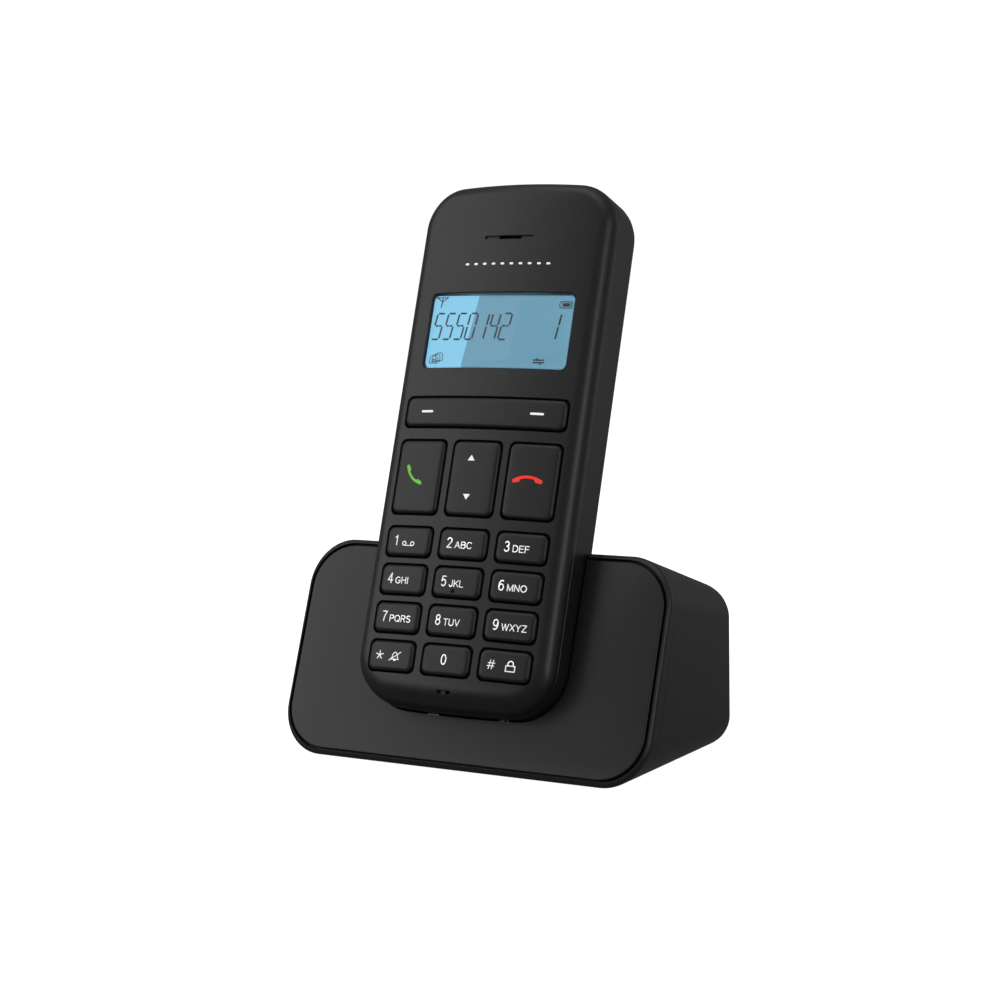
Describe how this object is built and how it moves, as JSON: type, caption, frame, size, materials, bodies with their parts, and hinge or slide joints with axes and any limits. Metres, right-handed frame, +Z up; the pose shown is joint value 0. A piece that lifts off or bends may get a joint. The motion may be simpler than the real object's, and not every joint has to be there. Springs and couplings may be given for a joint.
{
  "type": "cordless phone with charging base",
  "caption": "Cordless telephone handset with display and keypad, leaning in the pocket of its wedge-shaped charging base.",
  "frame": {"origin": "on the table, under the middle of the whole object's box", "axes": "+Z up, -Y the front that faces the user, +X to the right seen from the front"},
  "size_m": [0.102, 0.0682, 0.1448],
  "materials": {
    "shell_black": "fine moulded texture, satin",
    "panel_black": "smooth satin",
    "key_black": "smooth satin",
    "display_lens": "clear, polished, printed border",
    "lcd_glass": "backlit blue with dark segments",
    "backlight": "translucent white",
    "mat_rubber": "matte",
    "foot_rubber": "matte",
    "circuit_board": "solder mask",
    "mesh_cloth": "woven dust mesh",
    "transducer_metal": "satin",
    "cell_can": "printed plastic wrap",
    "contact_steel": "bright plated",
    "screw_steel": "zinc plated",
    "legend_white": "printed ink",
    "legend_green": "printed ink",
    "legend_red": "printed ink",
    "segment_ink": "dark liquid crystal segments",
    "jack_black": "moulded"
  },
  "bodies": {
    "base": {"base_front_panel": "panel_black", "base_front_housing": "shell_black", "base_rear_shell": "shell_black", "base_bottom_plate": "shell_black", "base_board": "circuit_board", "power_jack": "jack_black", "line_jack": "jack_black", "charge_contact_left": "contact_steel", "charge_contact_right": "contact_steel", "foot_front_left": "foot_rubber", "foot_front_right": "foot_rubber", "foot_rear_left": "foot_rubber", "foot_rear_right": "foot_rubber", "base_screw_front_left": "screw_steel", "base_screw_front_right": "screw_steel", "base_screw_rear_left": "screw_steel", "base_screw_rear_right": "screw_steel"},
    "handset": {"handset_front_shell": "shell_black", "handset_rear_shell": "shell_black", "display_lens": "display_lens", "lcd_module": "lcd_glass", "lcd_backlight": "backlight", "keypad_mat": "mat_rubber", "handset_board": "circuit_board", "handset_antenna": "contact_steel", "earpiece_mesh": "mesh_cloth", "earpiece_receiver": "transducer_metal", "microphone": "transducer_metal", "ringer_speaker": "transducer_metal", "battery_cell_left": "cell_can", "battery_cell_right": "cell_can", "battery_terminal_left": "contact_steel", "battery_terminal_right": "contact_steel", "battery_bridge": "contact_steel", "handset_screw_left": "screw_steel", "handset_screw_right": "screw_steel", "charge_pad_left": "contact_steel", "charge_pad_right": "contact_steel"},
    "key_star": {"key_star": "key_black"},
    "key_0": {"key_0": "key_black"},
    "key_hash": {"key_hash": "key_black"},
    "key_7": {"key_7": "key_black"},
    "key_8": {"key_8": "key_black"},
    "key_9": {"key_9": "key_black"},
    "key_4": {"key_4": "key_black"},
    "key_5": {"key_5": "key_black"},
    "key_6": {"key_6": "key_black"},
    "key_1": {"key_1": "key_black"},
    "key_2": {"key_2": "key_black"},
    "key_3": {"key_3": "key_black"},
    "talk_key": {"talk_key": "key_black"},
    "end_key": {"end_key": "key_black"},
    "softkey_bar": {"softkey_bar": "key_black"},
    "nav_key": {"nav_key": "key_black"},
    "battery_cover": {"battery_cover": "shell_black"},
    "page_button": {"page_button": "key_black"}
  },
  "joints": [
    {"name": "handset_lift", "type": "slide", "parent": "base", "child": "handset", "axis": [0, 0.3052, 0.9523], "range_m": [0, 0.07]},
    {"name": "key_star_press", "type": "slide", "parent": "handset", "child": "key_star", "axis": [0, 0.9523, -0.3052], "range_m": [0, 0.0005], "stiffness_N_per_m": 2500},
    {"name": "key_0_press", "type": "slide", "parent": "handset", "child": "key_0", "axis": [0, 0.9523, -0.3052], "range_m": [0, 0.0005], "stiffness_N_per_m": 2500},
    {"name": "key_hash_press", "type": "slide", "parent": "handset", "child": "key_hash", "axis": [0, 0.9523, -0.3052], "range_m": [0, 0.0005], "stiffness_N_per_m": 2500},
    {"name": "key_7_press", "type": "slide", "parent": "handset", "child": "key_7", "axis": [0, 0.9523, -0.3052], "range_m": [0, 0.0005], "stiffness_N_per_m": 2500},
    {"name": "key_8_press", "type": "slide", "parent": "handset", "child": "key_8", "axis": [0, 0.9523, -0.3052], "range_m": [0, 0.0005], "stiffness_N_per_m": 2500},
    {"name": "key_9_press", "type": "slide", "parent": "handset", "child": "key_9", "axis": [0, 0.9523, -0.3052], "range_m": [0, 0.0005], "stiffness_N_per_m": 2500},
    {"name": "key_4_press", "type": "slide", "parent": "handset", "child": "key_4", "axis": [0, 0.9523, -0.3052], "range_m": [0, 0.0005], "stiffness_N_per_m": 2500},
    {"name": "key_5_press", "type": "slide", "parent": "handset", "child": "key_5", "axis": [0, 0.9523, -0.3052], "range_m": [0, 0.0005], "stiffness_N_per_m": 2500},
    {"name": "key_6_press", "type": "slide", "parent": "handset", "child": "key_6", "axis": [0, 0.9523, -0.3052], "range_m": [0, 0.0005], "stiffness_N_per_m": 2500},
    {"name": "key_1_press", "type": "slide", "parent": "handset", "child": "key_1", "axis": [0, 0.9523, -0.3052], "range_m": [0, 0.0005], "stiffness_N_per_m": 2500},
    {"name": "key_2_press", "type": "slide", "parent": "handset", "child": "key_2", "axis": [0, 0.9523, -0.3052], "range_m": [0, 0.0005], "stiffness_N_per_m": 2500},
    {"name": "key_3_press", "type": "slide", "parent": "handset", "child": "key_3", "axis": [0, 0.9523, -0.3052], "range_m": [0, 0.0005], "stiffness_N_per_m": 2500},
    {"name": "talk_key_press", "type": "slide", "parent": "handset", "child": "talk_key", "axis": [0, 0.9523, -0.3052], "range_m": [0, 0.0005], "stiffness_N_per_m": 2500},
    {"name": "end_key_press", "type": "slide", "parent": "handset", "child": "end_key", "axis": [0, 0.9523, -0.3052], "range_m": [0, 0.0005], "stiffness_N_per_m": 2500},
    {"name": "softkey_bar_rock", "type": "hinge", "parent": "handset", "child": "softkey_bar", "pos_m": [0, -0.01131, 0.08721], "axis": [0, 0.3052, 0.9523], "range_deg": [-1.4, 1.4], "stiffness_Nm_per_rad": 1.2},
    {"name": "nav_key_rock", "type": "hinge", "parent": "handset", "child": "nav_key", "pos_m": [0, -0.01644, 0.07121], "axis": [1, 0, 0], "range_deg": [-3, 3], "stiffness_Nm_per_rad": 0.3},
    {"name": "battery_cover_tip", "type": "hinge", "parent": "handset", "child": "battery_cover", "pos_m": [0, 0.00405, 0.0701], "axis": [-1, 0, 0], "range_deg": [0, 45]},
    {"name": "page_button_press", "type": "slide", "parent": "base", "child": "page_button", "axis": [0, -0.9962, -0.0872], "range_m": [0, 0.0005], "stiffness_N_per_m": 2000}
  ]
}
